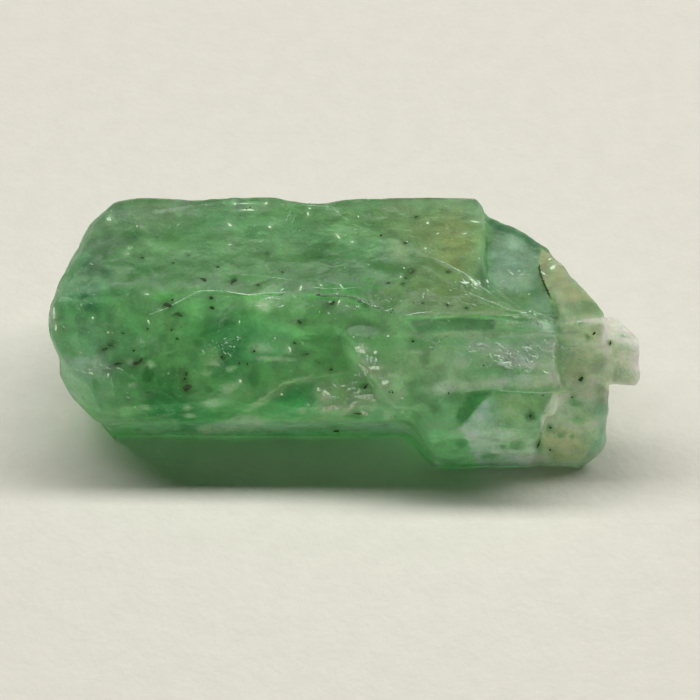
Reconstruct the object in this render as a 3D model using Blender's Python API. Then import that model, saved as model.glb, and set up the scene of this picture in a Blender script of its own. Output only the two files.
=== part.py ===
"""A raw emerald: one broken hexagonal beryl prism, lying on a prism face.

The crystal lies along X with its front towards -Y and its flat underside on Z = 0. Beryl grows as
six-sided prisms with 60 degrees between neighbouring faces, and a rough one is a bundle of such prisms,
side by side and parallel, each ending at its own fracture. So the stone is a few parallel prisms that
planes cleave, joined into one solid and then hollowed by the shallow bowls of conchoidal fractures.
"""

import math

import bmesh
import bpy
from mathutils import Matrix, Vector

MM = 0.001

# Driving dimensions, in millimetres and degrees.
LENGTH = 19.7
HEIGHT = 7.0
AXIS_Y = 0.26
AXIS_Z = 3.6
PRISM_ANGLE = 60.0
LEFT_TIP = -LENGTH / 2
RIGHT_TIP = LENGTH / 2
# Each block is cleaved out of a cube that reaches this far from the middle.
BLOCK_REACH = 14.0
# Cleavage planes that meet in one corner leave points this near each other.
MERGE_DISTANCE = 0.004

# The six prism faces, in the order met on turning about the crystal's axis from the top to the front.
FACES = ("top", "front_top", "front_bottom", "bottom", "back_bottom", "back_top")

# Each prism block: from where to where it runs along X, how far each of its faces is from the crystal's
# axis, and the planes that cleave it, each as a point on the plane and the direction out of the stone.
BLOCKS = {
    "main_prism": {
        "run": (LEFT_TIP, 4.8),
        "faces": {
            "top": HEIGHT - AXIS_Z,
            "front_top": 3.52,
            "front_bottom": 3.68,
            "bottom": AXIS_Z,
            "back_bottom": 3.70,
            "back_top": 3.73,
        },
        "cleaves": [
            # The broken left end, from the back round to the front.
            ((-8.53, 2.25, 5.75), (-0.93, 0.30, -0.10)),
            ((-7.85, 2.16, 7.0), (-0.85, 0.355, 0.46)),
            ((-7.76, 2.46, 6.9), (-0.64, 0.72, 0.28)),
            ((-8.25, 3.26, 4.5), (-0.66, 0.72, -0.22)),
            ((-9.62, -1.14, 5.5), (-0.98, 0.05, -0.16)),
            ((-9.44, -1.97, 3.5), (-0.90, -0.33, -0.28)),
            ((-8.24, -3.86, 3.5), (-0.84, -0.44, -0.32)),
            ((-7.75, -4.14, 2.2), (-0.66, -0.55, -0.52)),
            # The shoulder above the shelf.
            ((4.65, 2.46, 7.0), (0.70, 0.50, 0.50)),
        ],
    },
    "upper_right": {
        "run": (-0.05, 7.25),
        "faces": {"top": HEIGHT - AXIS_Z, "bottom": 0.4, "back_top": 2.8},
        "cleaves": [
            ((2.95, -1.76, 7.0), (0.0, -0.07, 1.0)),
            ((0.09, -1.76, 7.0), (-0.48, -0.88, 0.20)),
            ((4.95, -2.88, 7.0), (0.0, -1.0, 0.06)),
            ((5.11, -1.34, 7.0), (0.72, 0.70, 0.12)),
        ],
    },
    "front_right": {
        "run": (0.05, 7.3),
        "faces": {"front_top": 4.01, "front_bottom": 3.72, "bottom": 0.4},
        "cleaves": [
            ((4.95, -2.88, 6.17), (-0.02, -0.05, 1.0)),
            ((1.47, -4.04, 4.18), (-0.85, -0.60, -0.24)),
            ((4.95, -1.14, 4.0), (0.0, 1.0, 0.0)),
            ((7.1, -4.2, 3.89), (0.96, -0.10, 0.06)),
        ],
    },
    "right_shelf": {
        "run": (3.45, 8.55),
        "faces": {"top": 2.6, "bottom": 3.1, "back_bottom": 3.2, "back_top": 3.66},
        "cleaves": [
            ((5.39, 2.26, 6.2), (0.54, 0.84, 0.10)),
            ((7.35, 0.55, 6.2), (0.87, 0.49, 0.05)),
            ((4.95, -2.34, 4.0), (0.0, -1.0, 0.0)),
        ],
    },
    "pale_plate": {
        "run": (6.55, 8.7),
        "faces": {"bottom": 2.2},
        "cleaves": [
            ((7.45, -1.14, 6.62), (0.10, 0.04, 1.0)),
            ((7.01, -1.78, 6.6), (-0.99, -0.14, 0.05)),
            ((7.32, 0.16, 6.6), (0.86, 0.51, 0.06)),
            ((8.65, -2.54, 6.4), (0.97, 0.20, 0.12)),
            ((6.95, 0.06, 6.6), (0.50, 0.86, 0.10)),
            ((7.95, -2.8, 6.2), (0.0, -1.0, -0.05)),
        ],
    },
    # The clear end stands back from the rest of the front.
    "clear_end": {
        "run": (5.75, 8.93),
        "faces": {"bottom": AXIS_Z},
        "cleaves": [
            ((8.0, -3.36, 0.0), (-0.03, -1.0, -0.02)),
            ((8.0, -3.46, 2.95), (0.04, -0.95, 0.30)),
            ((8.0, -2.5, 5.98), (-0.02, -0.06, 1.0)),
            ((8.7, -2.6, 5.9), (0.90, 0.10, 0.42)),
            ((8.24, -3.34, 0.0), (0.85, -0.20, -0.45)),
            ((5.95, 1.06, 0.0), (0.24, 0.93, 0.28)),
        ],
    },
    "tongue": {
        "run": (6.45, RIGHT_TIP),
        "faces": {"front_top": 3.15},
        "cleaves": [
            ((8.95, -2.26, 5.48), (0.10, 0.47, 0.88)),
            ((8.95, -0.89, 4.46), (0.0, 0.95, 0.30)),
            ((8.95, -3.16, 3.98), (0.10, -0.43, -0.90)),
            ((8.95, -0.84, 3.56), (0.0, 0.80, -0.60)),
            ((9.5, -1.94, 5.06), (0.66, 0.35, 0.66)),
        ],
    },
    "lower_right_chunk": {
        "run": (1.85, 7.4),
        "faces": {"bottom": AXIS_Z},
        "cleaves": [
            ((4.95, -3.94, 4.22), (0.0, -0.12, 1.0)),
            ((4.95, -4.54, 3.3), (0.0, -0.83, 0.56)),
            ((4.95, -4.54, 3.3), (0.0, -0.94, -0.34)),
            ((3.05, -3.14, 0.0), (-0.77, -0.57, -0.28)),
            ((6.78, -4.54, 3.3), (0.99, 0.05, -0.06)),
            ((5.95, 1.26, 0.0), (0.20, 0.94, 0.28)),
        ],
    },
}

# Shallow bowls left by conchoidal fractures: the middle of each bowl's rim, the direction out of the
# stone there, the direction of its length, then its length, width and depth.
BOWLS = {
    "bowl_top_back_left": ((-4.95, 2.86, 7.0), (0.0, 0.62, 0.78), (1.0, 0.0, 0.0), 2.6, 1.6, 0.22),
    "bowl_top_back_middle": ((1.15, 2.86, 7.0), (0.0, 0.62, 0.78), (1.0, 0.05, 0.0), 4.6, 1.5, 0.16),
    "bowl_left_tip": ((-9.5, -1.44, 4.3), (-0.96, -0.12, -0.22), (0.0, 0.3, 1.0), 3.0, 2.0, 0.14),
    "bowl_left_corner": ((-8.65, -3.49, 4.1), (-0.80, -0.58, 0.05), (0.4, -0.3, 0.8), 2.2, 1.3, 0.18),
    "bowl_left_end": ((-8.95, 1.86, 3.6), (-0.93, 0.36, -0.08), (0.2, 0.6, 0.7), 5.0, 3.4, 0.45),
    "bowl_lower_front": ((-4.25, -3.74, 2.9), (0.0, -0.93, -0.36), (1.0, 0.0, 0.12), 6.4, 2.6, 0.30),
    "bowl_shelf": ((6.25, 0.46, 6.25), (0.22, 0.10, 0.97), (0.3, 1.0, 0.0), 3.4, 1.7, 0.16),
    "bowl_clear_end": ((8.0, -3.44, 1.7), (-0.03, -1.0, -0.02), (0.2, 0.0, 1.0), 2.2, 0.9, 0.10),
    "bowl_right_end": ((8.2, 0.26, 3.0), (0.88, 0.47, -0.05), (0.2, -0.5, 0.85), 4.2, 2.6, 0.40),
    "bowl_back_left": ((-5.65, 4.16, 3.6), (0.0, 0.98, 0.15), (1.0, 0.0, 0.25), 5.4, 3.0, 0.40),
    "bowl_back_right": ((3.15, 4.16, 2.6), (0.1, 0.97, -0.20), (1.0, 0.0, -0.35), 5.8, 2.8, 0.45),
    "bowl_back_upper": ((-1.05, 3.56, 5.4), (0.0, 0.87, 0.50), (1.0, 0.1, 0.0), 3.6, 1.8, 0.20),
    "bowl_under_edge": ((-6.25, 2.36, 0.0), (-0.20, 0.50, -0.84), (1.0, 0.4, 0.0), 3.4, 1.6, 0.28),
}
BOWL_RINGS = 7
BOWL_SEGMENTS = 20
# A cutter goes on past its bowl's rim, to this many times the rim's size.
BOWL_REACH = 2.2

EMERALD_GREEN = (0.09, 0.27, 0.11, 1.0)
BROKEN_FACE_ROUGHNESS = 0.3
BERYL_IOR = 1.58


def clear_scene():
    for obj in list(bpy.data.objects):
        bpy.data.objects.remove(obj)


def cleave(solid, point, outward):
    """Cuts a convex solid by a plane, keeps the side away from outward and closes the cut."""
    everything = solid.verts[:] + solid.edges[:] + solid.faces[:]
    bmesh.ops.bisect_plane(
        solid, geom=everything, plane_co=Vector(point), plane_no=Vector(outward), clear_outer=True
    )
    rim = [edge for edge in solid.edges if edge.is_boundary]
    if rim:
        bmesh.ops.holes_fill(solid, edges=rim)


def block_object(name, solid):
    """The closed shape, drawn in millimetres, as an object in metres."""
    bmesh.ops.recalc_face_normals(solid, faces=solid.faces)
    solid.transform(Matrix.Scale(MM, 4))
    mesh = bpy.data.meshes.new(name)
    solid.to_mesh(mesh)
    solid.free()
    block = bpy.data.objects.new(name, mesh)
    bpy.context.scene.collection.objects.link(block)
    return block


def prism_block(name, run, faces, cleaves):
    """One prism of the bundle, cleaved by its planes."""
    solid = bmesh.new()
    bmesh.ops.create_cube(solid, size=2 * BLOCK_REACH)
    cleave(solid, (run[0], 0, 0), (-1, 0, 0))
    cleave(solid, (run[1], 0, 0), (1, 0, 0))
    for turn, face in enumerate(FACES):
        if face in faces:
            angle = math.radians(PRISM_ANGLE * turn)
            outward = Vector((0, -math.sin(angle), math.cos(angle)))
            cleave(solid, Vector((0, AXIS_Y, AXIS_Z)) + outward * faces[face], outward)
    for point, outward in cleaves:
        cleave(solid, point, outward)
    bmesh.ops.remove_doubles(solid, verts=solid.verts, dist=MERGE_DISTANCE)
    return block_object(name, solid)


def bowl_cutter(name, middle, outward, along, length, width, depth):
    """The paraboloid that hollows one bowl, closed by a flat lid outside the stone."""
    up = Vector(outward).normalized()
    across = up.cross(Vector(along)).normalized()
    ahead = across.cross(up)
    solid = bmesh.new()
    lowest = solid.verts.new(Vector(middle) - up * depth)
    rings = []
    for step in range(1, BOWL_RINGS + 1):
        share = BOWL_REACH * step / BOWL_RINGS
        height = depth * (share**2 - 1)
        ring = []
        for segment in range(BOWL_SEGMENTS):
            angle = math.tau * segment / BOWL_SEGMENTS
            out = ahead * (length / 2 * math.cos(angle)) + across * (width / 2 * math.sin(angle))
            ring.append(solid.verts.new(Vector(middle) + out * share + up * height))
        rings.append(ring)
    for segment in range(BOWL_SEGMENTS):
        following = (segment + 1) % BOWL_SEGMENTS
        solid.faces.new((lowest, rings[0][segment], rings[0][following]))
        for inner, outer in zip(rings, rings[1:]):
            solid.faces.new((inner[segment], outer[segment], outer[following], inner[following]))
    solid.faces.new(rings[-1])
    return block_object(name, solid)


def combine(crystal, other, operation):
    modifier = crystal.modifiers.new(other.name, "BOOLEAN")
    modifier.operation = operation
    modifier.solver = "EXACT"
    modifier.object = other
    other.hide_render = True
    other.display_type = "WIRE"


def emerald_material():
    material = bpy.data.materials.new("emerald")
    material.use_nodes = True
    shader = material.node_tree.nodes["Principled BSDF"]
    shader.inputs["Base Color"].default_value = EMERALD_GREEN
    shader.inputs["Roughness"].default_value = BROKEN_FACE_ROUGHNESS
    shader.inputs["Metallic"].default_value = 0.0
    shader.inputs["IOR"].default_value = BERYL_IOR
    return material


def build():
    clear_scene()
    blocks = [prism_block(name, **shape) for name, shape in BLOCKS.items()]
    crystal = blocks[0]
    crystal.name = "emerald_crystal"
    for block in blocks[1:]:
        combine(crystal, block, "UNION")
    for name, shape in BOWLS.items():
        combine(crystal, bowl_cutter(name, *shape), "DIFFERENCE")
    crystal.data.materials.append(emerald_material())


build()
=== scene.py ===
"""A raw emerald on pale paper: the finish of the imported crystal, and what shows in and on its surface.

Lengths are in millimetres, because the stone's details are a few hundredths of a millimetre. Meshes are
turned to metres when they are stored. Only the stage is given in metres. The camera is a pinhole in front
of the stone and above it. Features are placed by the pixel where they show in its 700 x 700 picture:
a ray from the camera through that pixel finds the point on the stone. Patches of colour and cracks lie
wherever the stone shows at their pixels.
"""

import itertools
import math
from collections import namedtuple

import bmesh
import bpy
import numpy as np
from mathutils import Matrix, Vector
from mathutils.bvhtree import BVHTree


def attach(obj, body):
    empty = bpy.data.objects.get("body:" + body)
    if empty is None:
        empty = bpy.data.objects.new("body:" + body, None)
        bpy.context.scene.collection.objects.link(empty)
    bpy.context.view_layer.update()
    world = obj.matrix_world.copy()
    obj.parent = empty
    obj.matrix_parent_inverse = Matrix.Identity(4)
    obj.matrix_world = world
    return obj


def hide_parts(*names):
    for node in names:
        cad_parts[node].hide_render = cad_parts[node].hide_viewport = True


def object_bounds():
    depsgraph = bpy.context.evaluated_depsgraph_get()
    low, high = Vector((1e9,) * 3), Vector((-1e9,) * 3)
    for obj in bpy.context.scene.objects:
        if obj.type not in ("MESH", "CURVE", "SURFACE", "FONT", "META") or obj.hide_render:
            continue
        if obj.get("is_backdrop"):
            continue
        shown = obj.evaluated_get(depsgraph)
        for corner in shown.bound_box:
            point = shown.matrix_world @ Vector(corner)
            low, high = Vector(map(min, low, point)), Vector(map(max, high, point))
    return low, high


MM = 0.001

# The camera: how far from its aim and how high, and how many pixels a millimetre at the aim takes.
PICTURE = 700
SENSOR = 36.0
AIM = np.array([0.32, -0.675, 3.0])
DISTANCE = 120.0
ELEVATION = math.radians(47.0)
PIXELS_PER_MM = 29.5
FOCAL_PIXELS = PIXELS_PER_MM * DISTANCE
RIGHT = np.array([1.0, 0.0, 0.0])
UP = np.array([0.0, math.sin(ELEVATION), math.cos(ELEVATION)])
BACK = np.array([0.0, -math.cos(ELEVATION), math.sin(ELEVATION)])
EYE = AIM + DISTANCE * BACK


# ---- places on the picture

# Each feature's place is given in pixels of the 700 x 700 picture, column then row.


def rows(kind, **table):
    """A table's named rows, each as one named tuple of the kind."""
    return {name: kind(*row) for name, row in table.items()}


# The cracks: how far in millimetres the lower side has sunk, how many pixels wide the lip is, and the path.
Crack = namedtuple("Crack", "drop lip path")
CRACKS = rows(
    Crack,
    shoulder=(0.05, 1.0, ((149, 316), (167, 309), (187, 298), (200, 292), (217, 291.5), (236, 294),
        (250, 296), (267, 294), (292, 293))),
    shoulder_right=(0.05, 0.7, ((311, 288.5), (339, 290), (361, 288))),
    upper_short=(0.02, 0.6, ((242, 276), (264, 277), (294, 281))),
    step_down=(0.06, 0.0, ((350, 294), (368, 302), (383, 306), (399, 315), (419, 318), (444, 318),
        (460, 316), (494, 316), (559, 322))),
    band_top_left=(0.02, 0.9, ((406, 316), (421, 313.5), (433, 313))),
    band_hook=(0.04, 1.0, ((402, 321), (415, 333), (419, 339), (435, 343))),
    band_foot=(0.03, 0.7, ((419, 335), (438, 333), (460, 330.5), (493, 331), (559, 333), (605, 331))),
    long_diagonal=(0.06, 1.1, ((431, 258), (449, 266), (465, 275), (474, 283), (486, 291), (496, 298))),
    low_diagonal=(0.05, 0.8, ((459, 287), (474, 296), (497, 305), (512, 312), (533, 312), (558, 322))),
    back_rim=(0.04, 0.5, ((145, 218), (156, 211), (174, 209), (196, 206))),
    back_hook=(0.03, 0.8, ((303, 206), (333, 208), (339, 215), (350, 222))),
    feather_left=(0.02, 0.5, ((286, 222), (291, 211))),
    feather_right=(0.02, 0.5, ((291, 225), (297, 214))),
    lower_arc=(-0.04, 0.25, ((195, 431), (217, 427), (237, 416), (250, 414))),
    middle_arc=(0.04, 0.0, ((249, 408), (268, 396), (286, 383), (312, 379))),
    lower_ridge=(0.05, 0.5, ((292, 419), (318, 422), (347, 424), (377, 424), (403, 420), (415, 408),
        (427, 403))),
    ledge=(0.03, 0.6, ((449, 392), (467, 391), (484, 389), (497, 391), (518, 393), (555, 394), (591, 392),
        (607, 389))),
    chunk_line=(0.02, 0.3, ((459, 427), (493, 427))),
    chunk_facet=(-0.07, 0.4, ((552, 396), (543, 416), (539, 441))),
    chunk_rim=(0.0, 0.6, ((430, 456), (438, 462), (448, 464), (480, 464.5), (530, 464.5), (560, 464.5),
        (576, 464))),
    # The next lip is a pale thread on the bottom edge, not a crack: painted light for the glow of the thin
    # edge.
    bottom_rim=(0.0, 0.6, ((112, 431), (150, 433), (200, 433), (250, 432), (300, 430.5), (340, 431.5),
        (380, 430), (398, 427))),
    corner_step=(0.05, 0.4, ((146, 419), (175, 420), (180, 430))),
    left_chip=(-0.05, 0.7, ((111, 378), (115, 400))),
    left_groove=(0.07, 0.0, ((84, 378), (92, 396), (101, 412))),
    streak_low=(0.02, 0.9, ((489, 383), (497, 391))),
    streak_high=(0.02, 0.5, ((465, 345), (472, 367))),
    plate_crack=(0.05, 0.0, ((539, 266), (541, 277), (547, 291), (552, 302), (558, 303), (559, 318))),
)

# Dents and swellings that shape the outline: centre in millimetres, reach, and how far out (minus is in).
Swelling = namedtuple("Swelling", "centre reach height")
SWELLINGS = rows(
    Swelling,
    back_edge_dip_left=((-4.9, 2.6, 7.0), 1.0, -0.1),
    back_edge_dip_right=((-0.9, 2.6, 7.0), 1.1, -0.13),
    left_low_bulge=((-9.3, -2.4, 2.8), 1.1, 0.36),
    left_tip=((-9.8, -1.0, 4.5), 0.9, 0.12),
    chunk_left_corner=((3.6, -3.9, 1.2), 0.8, 0.15),
    back_left_corner=((-8.3, 1.8, 6.2), 0.7, 0.12),
    tongue_foot=((9.75, -2.9, 4.0), 0.5, 0.18),
    clear_end_foot=((8.7, -3.3, 0.7), 0.6, 0.15),
)

# Long edges that wear has flattened: a line in millimetres, reach, and how far out (minus is in).
WornRidge = namedtuple("WornRidge", "start end reach height")
WORN_RIDGES = rows(
    WornRidge,
    shoulder=((-9.8, -1.84, 7.0), (0.8, -1.84, 7.0), 1.0, -0.32),
    front=((-9.0, -3.9, 3.44), (2.5, -3.9, 3.44), 0.7, -0.14),
    back_right=((5.3, 2.4, 6.3), (9.0, -0.7, 5.0), 0.7, 0.09),
)

# Patches of colour: centre, half length and half width in pixels, turn in degrees, how soft the edge is,
# how strong the patch is, how clear the stone is there, and the colour as it looks, from 0 to 255.
Zone = namedtuple("Zone", "column row length width turn softness strength clarity colour")
ZONES = rows(
    Zone,
    left_end=(72, 300, 34, 75, 20, 0.6, 0.8, 0.7, (96, 152, 106)),
    left_low=(92, 352, 44, 30, 10, 0.6, 0.8, 0.5, (124, 170, 126)),
    left_corner_top=(106, 226, 30, 26, -45, 0.6, 0.7, 0.7, (100, 144, 98)),
    top_rim=(170, 210, 55, 9, -4, 0.5, 0.7, 0.7, (116, 154, 114)),
    top_left=(165, 255, 70, 40, 0, 0.8, 0.7, 0.65, (76, 124, 72)),
    top_left_blue=(215, 235, 30, 22, 20, 0.7, 0.6, 0.7, (82, 140, 88)),
    top_middle=(262, 240, 60, 36, 0, 0.7, 0.7, 0.7, (90, 143, 86)),
    top_dark=(300, 232, 26, 16, 0, 0.7, 0.5, 0.7, (76, 130, 82)),
    top_centre=(360, 250, 50, 32, 0, 0.7, 0.6, 0.7, (86, 140, 84)),
    top_centre_dark=(330, 270, 34, 20, 0, 0.7, 0.5, 0.7, (48, 116, 52)),
    centre_band=(390, 300, 44, 14, 10, 0.6, 0.5, 0.7, (50, 118, 56)),
    middle_face=(140, 330, 60, 26, 0, 0.8, 0.55, 0.62, (60, 112, 58)),
    under_shoulder=(270, 316, 80, 12, 0, 0.8, 0.7, 0.5, (76, 126, 72)),
    below_crack=(230, 345, 40, 34, 20, 0.6, 0.8, 0.62, (54, 118, 62)),
    deep_green=(238, 348, 20, 22, 10, 0.6, 0.7, 0.62, (40, 108, 56)),
    low_green=(163, 398, 26, 24, 20, 0.6, 0.8, 0.62, (18, 84, 38)),
    low_green_right=(180, 412, 34, 12, 0, 0.6, 0.75, 0.62, (16, 76, 36)),
    belly_green=(299, 398, 22, 20, -30, 0.5, 0.8, 0.62, (46, 110, 60)),
    belly_pale=(262, 345, 30, 20, 0, 0.7, 0.6, 0.6, (82, 142, 90)),
    centre_plain=(385, 335, 50, 18, 0, 0.7, 0.6, 0.7, (94, 146, 90)),
    step_line_left=(366, 301, 20, 1.6, 26, 0.6, 0.6, 0.4, (124, 170, 118)),
    step_line=(440, 317, 60, 1.6, 2, 0.6, 0.8, 0.4, (146, 182, 140)),
    centre_yellow=(330, 345, 26, 28, 0, 0.8, 0.5, 0.7, (66, 118, 58)),
    crumbly=(348, 395, 34, 22, 0, 0.6, 0.6, 0.4, (132, 168, 120)),
    # Painted light: the faces under the front edge, lighter for light through the thin edge and off the
    # paper.
    lower_band=(250, 428, 120, 8, 0, 0.5, 0.8, 0.3, (134, 202, 156)),
    lower_lens=(242, 424, 16, 9, 0, 0.5, 0.8, 0.25, (144, 200, 160)),
    lower_strip=(380, 429, 34, 7, 0, 0.5, 0.8, 0.4, (116, 158, 126)),
    chip_patch=(90, 368, 24, 10, 14, 0.4, 0.9, 0.35, (164, 190, 162)),
    chip_dark=(93, 394, 7, 20, -25, 0.5, 0.7, 0.8, (72, 128, 84)),
    chip_pale=(106, 390, 8, 15, -10, 0.5, 0.8, 0.4, (130, 180, 130)),
    left_streak=(54, 320, 3.5, 15, -6, 0.5, 0.9, 0.5, (160, 180, 150)),
    white_triangle=(268, 301, 20, 9, 0, 0.5, 0.6, 0.5, (98, 142, 92)),
    pale_right_of_crack=(385, 395, 16, 18, 0, 0.6, 0.5, 0.35, (134, 180, 132)),
    blue_patch_left=(368, 366, 8, 16, -35, 0.4, 0.9, 0.2, (146, 230, 148)),
    blue_patch_high=(361, 349, 6, 5, 0, 0.5, 0.9, 0.2, (142, 226, 146)),
    blue_patch_right=(394, 385, 13, 12, 0, 0.5, 0.8, 0.25, (138, 216, 140)),
    olive_patch=(396, 209, 17, 9, 0, 0.7, 0.85, 0.6, (36, 70, 20)),
    top_right=(425, 220, 52, 28, 0, 0.7, 0.7, 0.7, (110, 144, 94)),
    pale_triangle=(400, 250, 9, 12, -35, 0.5, 0.7, 0.6, (114, 146, 96)),
    right_top_corner=(462, 208, 22, 14, 10, 0.6, 0.7, 0.7, (108, 142, 102)),
    yellow_wide=(452, 250, 30, 32, -20, 0.8, 0.8, 0.6, (110, 136, 76)),
    yellow_core=(456, 243, 12, 16, 0, 0.8, 0.5, 0.6, (112, 130, 68)),
    fan=(445, 296, 44, 14, 12, 0.6, 0.7, 0.7, (102, 138, 80)),
    fan_dark=(425, 276, 26, 11, 20, 0.6, 0.4, 0.7, (122, 154, 100)),
    # Painted shade: the dark band in the recess under the step.
    under_step=(452, 325, 42, 7, 0, 0.4, 0.9, 0.4, (56, 92, 56)),
    # Painted light: the far part of the recess under the step, painted lighter to lift its shade.
    under_step_far=(525, 326, 40, 6, 0, 0.5, 0.8, 0.3, (128, 158, 122)),
    window=(512, 266, 26, 29, 0, 0.4, 0.9, 0.7, (124, 164, 132)),
    window_core=(518, 270, 17, 20, 0, 0.6, 0.6, 0.7, (134, 172, 142)),
    window_left=(484, 262, 6, 26, 4, 0.4, 0.7, 0.8, (98, 140, 94)),
    window_rim=(515, 236, 34, 6, 32, 0.5, 0.9, 0.8, (80, 134, 94)),
    window_foot=(516, 297, 26, 7, 0, 0.6, 0.8, 0.7, (98, 140, 86)),
    window_green=(540, 292, 9, 22, -20, 0.5, 0.7, 0.8, (94, 142, 100)),
    window_cloud_low=(506, 283, 9, 6, 0, 0.7, 0.8, 0.5, (160, 194, 162)),
    window_cloud_right=(524, 279, 7, 6, 0, 0.7, 0.7, 0.4, (186, 212, 178)),
    window_cloud_top=(516, 243, 10, 5, 30, 0.7, 0.7, 0.5, (172, 198, 164)),
    plate=(572, 290, 24, 40, -35, 0.4, 0.9, 0.8, (134, 156, 108)),
    plate_green=(584, 308, 19, 7, 8, 0.5, 0.8, 0.8, (116, 152, 104)),
    tongue_root=(580, 345, 28, 24, 0, 0.5, 0.9, 0.5, (150, 180, 132)),
    tongue=(623, 354, 18, 32, 0, 0.4, 0.9, 0.4, (206, 218, 176)),
    tongue_blob=(580, 352, 13, 14, 0, 0.6, 0.7, 0.25, (178, 200, 158)),
    # Glossy streaks: partly pale stone, partly painted reflection of the light.
    glossy_streaks=(518, 354, 56, 16, 5, 0.6, 0.8, 0.3, (162, 192, 156)),
    # Painted highlights: the bright streaks in this row and the next two.
    streak_bright=(516, 358, 20, 7, 18, 0.6, 0.9, 0.08, (224, 236, 212)),
    streak_bright_left=(482, 346, 16, 6, 10, 0.6, 0.8, 0.35, (176, 206, 176)),
    streak_bright_right=(548, 346, 18, 7, 10, 0.6, 0.7, 0.2, (192, 214, 182)),
    under_streaks=(520, 382, 44, 9, 0, 0.6, 0.75, 0.2, (162, 190, 154)),
    mid_pale=(448, 366, 26, 22, 0, 0.7, 0.7, 0.3, (146, 178, 138)),
    mid_pale_low=(445, 386, 14, 8, -10, 0.7, 0.6, 0.12, (186, 208, 170)),
    dark_triangle=(472, 408, 9, 22, 38, 0.4, 0.9, 0.8, (64, 116, 64)),
    dark_triangle_left=(444, 412, 18, 12, 0, 0.6, 0.7, 0.5, (112, 152, 108)),
    chunk_pale=(500, 435, 38, 26, 10, 0.5, 0.8, 0.4, (126, 170, 128)),
    chunk_green=(520, 410, 30, 12, 0, 0.7, 0.6, 0.4, (128, 166, 120)),
    chunk_lens=(455, 450, 28, 16, 20, 0.4, 0.9, 0.45, (100, 160, 104)),
    chunk_window=(570, 418, 24, 28, 15, 0.4, 0.9, 0.2, (178, 206, 168)),
    chunk_window_olive=(564, 440, 22, 13, 0, 0.7, 0.6, 0.25, (164, 184, 140)),
    chunk_facet_shade=(538, 420, 6, 26, 14, 0.5, 0.9, 0.8, (68, 114, 64)),
    chunk_rim=(601, 434, 9, 32, 6, 0.4, 0.9, 0.45, (142, 174, 138)),
    chunk_bottom=(512, 462, 80, 7, 0, 0.6, 0.9, 0.05, (222, 238, 216)),
    ledge_line=(570, 395, 34, 4, 0, 0.6, 0.7, 0.2, (190, 208, 170)),
    above_shoulder=(235, 273, 165, 12, 0, 0.6, 0.7, 0.62, (60, 120, 56)),
    left_face=(140, 372, 34, 26, 0, 0.7, 0.7, 0.62, (48, 103, 50)),
    low_middle=(245, 408, 44, 9, -10, 0.6, 0.7, 0.6, (40, 100, 46)),
    step_glow=(395, 322, 24, 11, 15, 0.6, 0.8, 0.4, (84, 118, 80)),
    centre_right=(415, 365, 26, 50, 0, 0.7, 0.6, 0.4, (134, 174, 128)),
    root_low=(582, 378, 24, 15, 30, 0.6, 0.8, 0.1, (200, 216, 178)),
    ledge_left=(464, 387, 34, 6, -4, 0.6, 0.8, 0.15, (170, 198, 158)),
    window_white=(581, 409, 14, 7, 12, 0.6, 0.9, 0.05, (214, 230, 200)),
    left_low_glow=(80, 382, 24, 26, 20, 0.6, 0.7, 0.3, (132, 180, 136)),
    bowl_floor=(361, 331, 18, 8, 0, 0.3, 0.8, 0.6, (66, 116, 66)),
    bowl_rim=(344, 344, 20, 8, 55, 0.6, 0.7, 0.4, (70, 112, 66)),
    step_foot=(490, 334.5, 78, 4, 0, 0.5, 0.9, 0.2, (172, 194, 158)),
    chunk_foot=(508, 464, 78, 4, 0, 0.5, 0.9, 0.05, (226, 240, 216)),
    # Painted light: a pale line along the bottom edge, for the glow of the thin edge.
    left_foot=(250, 432, 150, 3, -0.5, 0.5, 0.5, 0.3, (130, 196, 140)),
    blotch_far_left=(92, 308, 7, 5, 0, 0.7, 0.8, 0.8, (58, 116, 74)),
    blotch_far_left_high=(84, 297, 5, 4, 0, 0.7, 0.7, 0.8, (56, 124, 88)),
    blotch_left_high=(106, 273, 7, 5, 0, 0.7, 0.8, 0.8, (22, 96, 44)),
    blotch_left=(89, 268, 9, 7, 0, 0.7, 0.7, 0.8, (24, 96, 42)),
    blotch_top=(136, 236, 8, 6, 0, 0.7, 0.6, 0.8, (76, 124, 76)),
    blotch_low=(148, 375, 5, 6, 0, 0.7, 0.95, 0.8, (4, 66, 16)),
    blotch_centre=(318, 338, 12, 7, 0, 0.7, 0.6, 0.8, (66, 118, 62)),
    blotch_centre_high=(322, 251, 7, 8, 20, 0.7, 0.6, 0.8, (72, 126, 80)),
    blotch_right=(358, 414, 9, 4, 0, 0.5, 0.9, 0.7, (14, 56, 12)),
    blotch_crumbly=(366, 386, 8, 4, 0, 0.5, 0.9, 0.7, (30, 96, 18)),
)

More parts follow.
